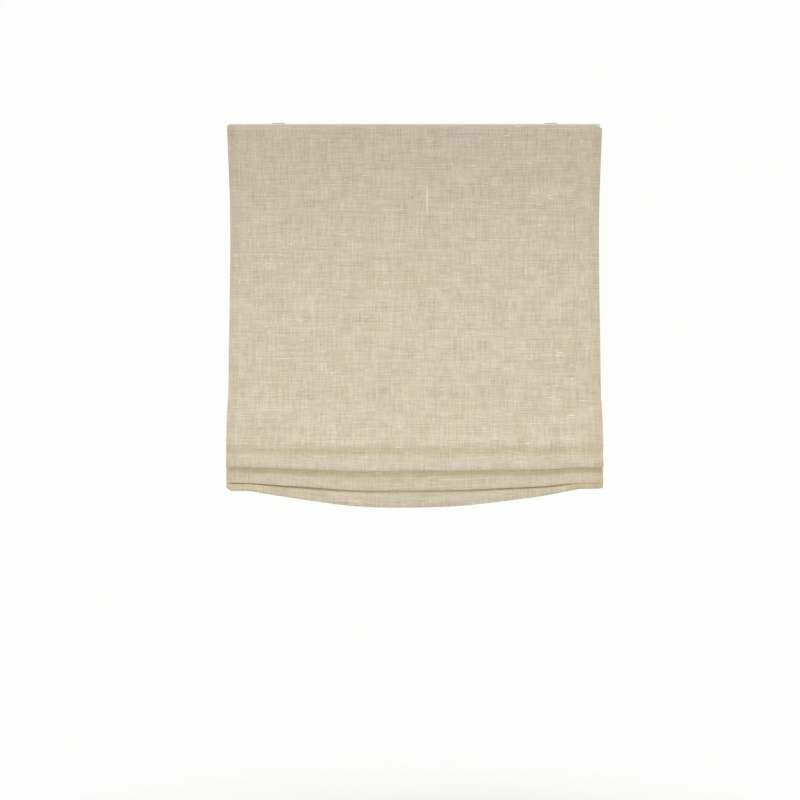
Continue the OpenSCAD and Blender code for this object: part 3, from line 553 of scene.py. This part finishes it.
# %% Two braided cords
cord_place, cord_y, cord_r = cord_x / 1000, -0.0176, 0.0006
dark_cord, pale_cord = (0.62, 0.60, 0.54, 1), (0.84, 0.82, 0.76, 1)
braid = Finish("braided_cord", Roughness=0.78, Specular_IOR_Level=0.3)
x_m, y_m, z_m = braid.place()
angle = y_m.math("ARCTAN2", y_m - cord_y, x_m.size() - cord_place)
plait = (angle * 4 + z_m * 3200).sine() * (angle * 4 - z_m * 3200).sine()
# Painted shade: the colour follows the bump and is darker where the plait sinks between strands.
braid.feed(Base_Color=braid.mix((0.5 + 0.5 * plait).held(), dark_cord, pale_cord),
           Normal=braid.bump(plait, 0.00015, 0.8))
for name, side in (("left", -1), ("right", 1)):
    low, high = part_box(f"lift_cord_{name}")
    path = np.linspace([side * cord_place, cord_y, high.z], [side * cord_place, cord_y, low.z], 160)
    cord = make_piece(f"braided_cord_{name}", *tube(path, np.array([1.0, 0, 0]), cord_r, 12))
    cord.data.materials.append(braid.material)
    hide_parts(f"lift_cord_{name}")
    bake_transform(cord, "headrail", "shade_bottom", start=fold_start, end=fold_end)

# %% [markdown]
# ## Ring stitches
# Each ring is tacked to the reverse with a few turns of thread. The thread goes round the ring's wire and
# through the linen, so its path is a flat loop that moves along the ring a little with every turn. A curve
# with a bevel would do as well, but the tube helper is at hand and gives a closed mesh at once.

# %% A looped path and the finish of the thread
def loops(centre, turns=6):
    """Loops in depth and height about the ring's front, stepping along the ring from side to side."""
    half_arc, ring_r, wrap_y, wrap_z = 0.42, 0.0057, 0.0016, 0.00115
    turn_angle = np.linspace(0, 2 * np.pi * turns, 24 * turns)
    along_ring = np.linspace(-half_arc, half_arc, len(turn_angle))
    reach = ring_r + wrap_y * np.cos(turn_angle)
    return np.stack([centre[0] + reach * np.sin(along_ring), centre[1] - reach * np.cos(along_ring),
                     centre[2] + wrap_z * np.sin(turn_angle)], -1)


thread_finish = Finish("sewing_thread", Roughness=0.7)
x_m, y_m, z_m = thread_finish.place()
twist = ((x_m + y_m + z_m) * 9000).sine()
# Painted shade: the colour follows the bump and is darker where the twist sinks between plies.
ply = thread_finish.mix((0.5 + 0.5 * twist).held(), (0.60, 0.53, 0.41, 1), (0.80, 0.74, 0.62, 1))
thread_finish.feed(Base_Color=ply, Normal=thread_finish.bump(twist, 0.0001, 0.6))
print("thread finish:", len(thread_finish.tree.nodes), "nodes")

# %% Thread loops on every ring
thread_r = 0.00022
ring_bodies = {
    "upper_ring": "upper_ring_row", "middle_ring": "middle_ring_row", "lower_ring": "lower_ring_row",
    "first_gathered_ring": "shade_bottom", "second_gathered_ring": "shade_bottom",
    "third_gathered_ring": "shade_bottom"}
for ring, body in ring_bodies.items():
    for name in ("left", "right"):
        low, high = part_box(f"{ring}_{name}")
        centre = (np.array(low) + np.array(high)) / 2
        stitch = make_piece(f"{ring}_stitch_{name}", *tube(loops(centre), np.array([1.0, 0, 0]), thread_r, 6))
        stitch.data.materials.append(thread_finish.material)
        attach(stitch, body)

# %% [markdown]
# ## Coated metal
# The headrail and the bottom rod are drawn metal under a powder coat. Their shapes are already exact, so
# they only need a finish. One flat colour would look like paper: a real coating has a faint orange peel,
# follows the drawn lines below it, and is not equally glossy everywhere. Those go into bump and roughness.

# %% Dressing nodes, and the coat of headrail and rod
def dress(finish, *names):
    """Gives packed nodes a finish instead of their plain colour."""
    for name in names:
        nodes[name].data.materials.clear()
        nodes[name].data.materials.append(finish.material)
    print(f"{finish.material.name}: {len(names)} nodes, {len(finish.tree.nodes)} shader nodes")


def coated(name, colour, roughness):
    """Powder coat: a fine peel in the bump, drawn lines along X under it, and faintly uneven gloss."""
    finish = Finish(name, Roughness=roughness)
    x, y, z = finish.place()
    peel = finish.noise(x / 0.0011, y / 0.0011, 2.0, z / 0.0011)
    drawn = finish.noise(x / 0.35, y / 0.0016, 1.0, z / 0.0016)
    cloud = finish.noise(x / 0.06, y / 0.03, 2.0, z / 0.03)
    darker = tuple(0.93 * c for c in colour) + (1,)
    finish.feed(Base_Color=finish.mix((0.5 + 1.2 * cloud + 0.4 * drawn).held(), darker, colour + (1,)),
                Roughness=roughness + 0.18 * peel + 0.10 * cloud,
                Normal=finish.bump(peel + 0.8 * drawn, 0.00006, 0.6))
    return finish


dress(coated("white_coated_metal", (0.83, 0.83, 0.80), 0.42), "headrail")
dress(coated("rod_coat", (0.84, 0.84, 0.81), 0.30), "bottom_rod")

# %% [markdown]
# ## Moulded plastic
# Caps, spools and drums are white plastic, the cradles and the motor's housing are grey, and rings and cord
# locks are milky. A mould leaves a fine grain and faint flow marks. The grain could be modelled, but it is
# finer than any mesh, so it goes into the bump, and the marks go into colour and gloss.

# %% Moulded plastics
def moulded(name, colour, roughness, grain=0.0006, **constants):
    """Moulded plastic: fine grain in the bump, soft flow marks in the colour, and gloss that follows both."""
    finish = Finish(name, Roughness=roughness, **constants)
    x, y, z = finish.place()
    pits = finish.noise(x / grain, y / grain, 1.0, z / grain)
    flow = finish.noise(x / 0.012, y / 0.006, 2.0, z / 0.006)
    darker = tuple(0.90 * c for c in colour) + (1,)
    finish.feed(Base_Color=finish.mix((0.5 + 1.4 * flow).held(), darker, colour + (1,)),
                Roughness=roughness + 0.25 * pits + 0.12 * flow, Normal=finish.bump(pits, 0.00005, 0.7))
    return finish


white_plastic = moulded("white_plastic", (0.80, 0.80, 0.77), 0.45)
dress(white_plastic, "end_cap_left", "end_cap_right", "cord_spool_left", "cord_spool_right", "motor_cover",
      "output_drum", "storage_drum", "rod_tip_left", "rod_tip_right")
grey_plastic = moulded("grey_plastic", (0.25, 0.26, 0.27), 0.50)
dress(grey_plastic, "spool_cradle_left", "spool_cradle_right", "motor_housing")
clear_plastic = moulded("milky_plastic", (0.86, 0.88, 0.87), 0.22, 0.002, Transmission_Weight=0.35, IOR=1.49)
rings = [f"{ring}_{name}" for ring in ring_bodies for name in ("left", "right")]
dress(clear_plastic, "cord_lock_left", "cord_lock_right", *rings)

# %% [markdown]
# ## Steel
# Brackets, shaft and collars are zinc-plated steel, and the motor's spring is a darker steel band. Drawing
# and rolling leave thin lines along such pieces, and plating clouds a little. Anisotropic shading could
# stretch the highlights, but on small pieces fine lines in roughness and bump do the same and stay simple.

# %% Steel of the brackets, the shaft and the spring
def drawn_steel(name, colour, roughness):
    """Drawn steel: lines along X in roughness and bump, and a slow change of tint as on zinc plating."""
    finish = Finish(name, Metallic=1.0, Roughness=roughness)
    x, y, z = finish.place()
    lines = finish.noise(x / 0.05, y / 0.0003, 2.0, z / 0.0003)
    tint = finish.noise(x / 0.008, y / 0.008, 2.0, z / 0.008)
    darker = tuple(0.78 * c for c in colour) + (1,)
    finish.feed(Base_Color=finish.mix((0.5 + 1.2 * tint + 0.5 * lines).held(), darker, colour + (1,)),
                Roughness=roughness + 0.3 * lines + 0.1 * tint, Normal=finish.bump(lines, 0.00003, 0.6))
    return finish


dress(drawn_steel("zinc_steel", (0.64, 0.65, 0.66), 0.34), "mounting_bracket_left", "mounting_bracket_right",
      "lift_shaft", "shaft_collar_left", "shaft_collar_right")
dress(drawn_steel("spring_steel", (0.36, 0.38, 0.42), 0.28), "spring_band")

# %% [markdown]
# ## Tapes and wound cord
# Hook tape on the headrail holds loop tape on the linen, so the cloth can be taken off. The hooks stand in
# rows, the loops are a fuzzy pile, and the cord lies in turns on its spools. As meshes these would be
# thousands of tiny pieces. A grid of waves, a fine noise and crossing diagonals are enough for them.

# %% Hook and loop tape
hooks = Finish("hook_nap", Roughness=0.6)
x_m, _, z_m = hooks.place()
pins = (x_m * 4200).sine() * (z_m * 4200).sine()
# Painted shade: the colour follows the bump and is darker on the low base between the hooks.
hooks.feed(Base_Color=hooks.mix((0.5 + 0.5 * pins).held(), (0.62, 0.61, 0.58, 1), (0.86, 0.85, 0.82, 1)),
           Normal=hooks.bump(pins, 0.0003, 0.8))
dress(hooks, "hook_tape")
pile = Finish("loop_nap", Roughness=0.95, Sheen_Weight=0.2)
x_m, y_m, z_m = pile.place()
fuzz = pile.noise(x_m / 0.0007, y_m / 0.0007, 3.0, z_m / 0.0007)
pile.feed(Base_Color=pile.mix((0.5 + 1.6 * fuzz).held(), (0.60, 0.57, 0.50, 1), (0.86, 0.83, 0.76, 1)),
          Normal=pile.bump(fuzz, 0.0005, 0.8))
dress(pile, "loop_tape")

# %% The cord on the spools
shaft_y, shaft_z = -0.009, -0.0184
wound = Finish("wound_cord", Roughness=0.78, Specular_IOR_Level=0.3)
x_m, y_m, z_m = wound.place()
angle = y_m.math("ARCTAN2", y_m - shaft_y, z_m - shaft_z)
strand = (angle * 44 + x_m * 5236).sine() * (angle * 44 - x_m * 5236).sine()
# Painted shade: as on the braid, the colour follows the bump and is darker where the strands sink.
wound.feed(Base_Color=wound.mix((0.5 + 0.5 * strand).held(), dark_cord, pale_cord),
           Normal=wound.bump(strand, 0.00015, 0.8))
dress(wound, "cord_winding_left", "cord_winding_right")

# %% [markdown]
# ## Floor
# The shade hangs high, so its plain pale floor lies about two metres below the headrail. A plane with a
# hard rim would cut through the background. So the floor is a disc whose opacity falls with the distance
# from its middle, and it fades into its surroundings.

# %% A round floor
floor_z, floor_r, floor_rows, floor_sides = -2.05, 16.0, 24, 64
ring_r = np.linspace(0.05, floor_r, floor_rows)[:, None]
round_turn = np.linspace(0, 2 * np.pi, floor_sides, endpoint=False)[None, :]
floor_grid = np.broadcast_arrays(ring_r * np.cos(round_turn), ring_r * np.sin(round_turn), floor_z)
floor_points = np.stack(floor_grid, -1).reshape(-1, 3)
floor_faces = grid_quads(floor_rows, floor_sides)[:, ::-1].tolist() + [list(range(floor_sides))]
floor_mesh = bpy.data.meshes.new("floor")
floor_mesh.from_pydata(floor_points.tolist(), [], floor_faces)
floor = bpy.data.objects.new("floor", floor_mesh)
bpy.context.scene.collection.objects.link(floor)
pale = Finish("pale_floor", Roughness=0.85, Specular_IOR_Level=0.1)
x_m, y_m, _ = pale.place()
faded = (1.6 - (x_m * x_m + y_m * y_m) * 0.45).held()
patches = (0.5 + pale.noise(x_m / 0.4, y_m / 0.4, 3.0)).held()
pale.feed(Base_Color=pale.mix(patches, (0.84, 0.835, 0.82, 1), (0.88, 0.875, 0.86, 1)), Alpha=faded)
floor_mesh.materials.append(pale.material)
print("floor at", floor_z, "with", len(floor_faces), "faces")

# %% [markdown]
# ## Light
# Cloth shows its folds best in soft light from above. A picture of a sky could light it, but plain studio
# light is easier to steer. The surroundings are dim on the side of the room and bright behind the shade.
# A wide light high up shades the folds, and a broad weak lamp low in front opens the shadows under them.

# %% The surroundings
scene = bpy.context.scene
scene.world = bpy.data.worlds.new("studio")
scene.world.use_nodes = True


class Studio(Finish):
    """The studio's surroundings, worked out with the same wires as a finish."""

    def __init__(self, world):
        self.tree, self.shader = world.node_tree, world.node_tree.nodes["Background"]


studio = Studio(scene.world)
heading = studio.node("ShaderNodeSeparateXYZ", {"Vector": studio.node("ShaderNodeTexCoord").out("Generated")})
bright = (0.5 + 0.75 * heading.out("Y") + 0.25 * heading.out("Z")).held()
studio.feed(Color=studio.mix(bright, (0.602, 0.586, 0.545, 1), (0.98, 0.98, 0.975, 1)))
print("surroundings use", len(studio.tree.nodes), "nodes")

# %% A high light and a low lamp
high_light = bpy.data.lights.new("high_light", "SUN")
high_light.energy, high_light.angle = 0.8, np.radians(30)
high_place = bpy.data.objects.new("high_light", high_light)
high_place.rotation_euler = Vector((0.16, 0.44, -0.9)).to_track_quat("-Z", "Y").to_euler()
scene.collection.objects.link(high_place)


def lamp(name, place, target, size, power, spread):
    """A rectangular lamp that faces its target; size is width and height, spread the beam's angle."""
    light = bpy.data.lights.new(name, "AREA")
    light.shape, (light.size, light.size_y) = "RECTANGLE", size
    light.energy, light.spread = power, np.radians(spread)
    made = bpy.data.objects.new(name, light)
    made.visible_camera = False
    made.location = place
    made.rotation_euler = (Vector(target) - Vector(place)).to_track_quat("-Z", "Y").to_euler()
    scene.collection.objects.link(made)
    print(f"{name}: {power} W")


lamp("front_lamp", (-0.1, -2.6, -0.95), (0, 0, -0.57), (1.8, 0.6), 1.3, 34)

# %% [markdown]
# ## Camera
# The camera looks level at the shade from a little over three metres. Distance and lens belong together:
# a near camera with a wide lens would look down on the folds, and a far one would flatten them.
# This pair, and a place slightly to the left, give the framing of the picture.

# %% A level camera
camera = bpy.data.objects.new("camera", bpy.data.cameras.new("camera"))
camera.location = (-0.0351, -3.225, -0.667)
camera.rotation_euler = (np.pi / 2, 0, 0)
camera.data.sensor_width, camera.data.lens = 36.0, 59.9
scene.collection.objects.link(camera)
scene.camera = camera
scene.view_settings.view_transform = "Standard"
print("camera at", tuple(round(v, 3) for v in camera.location))

# %% [markdown]
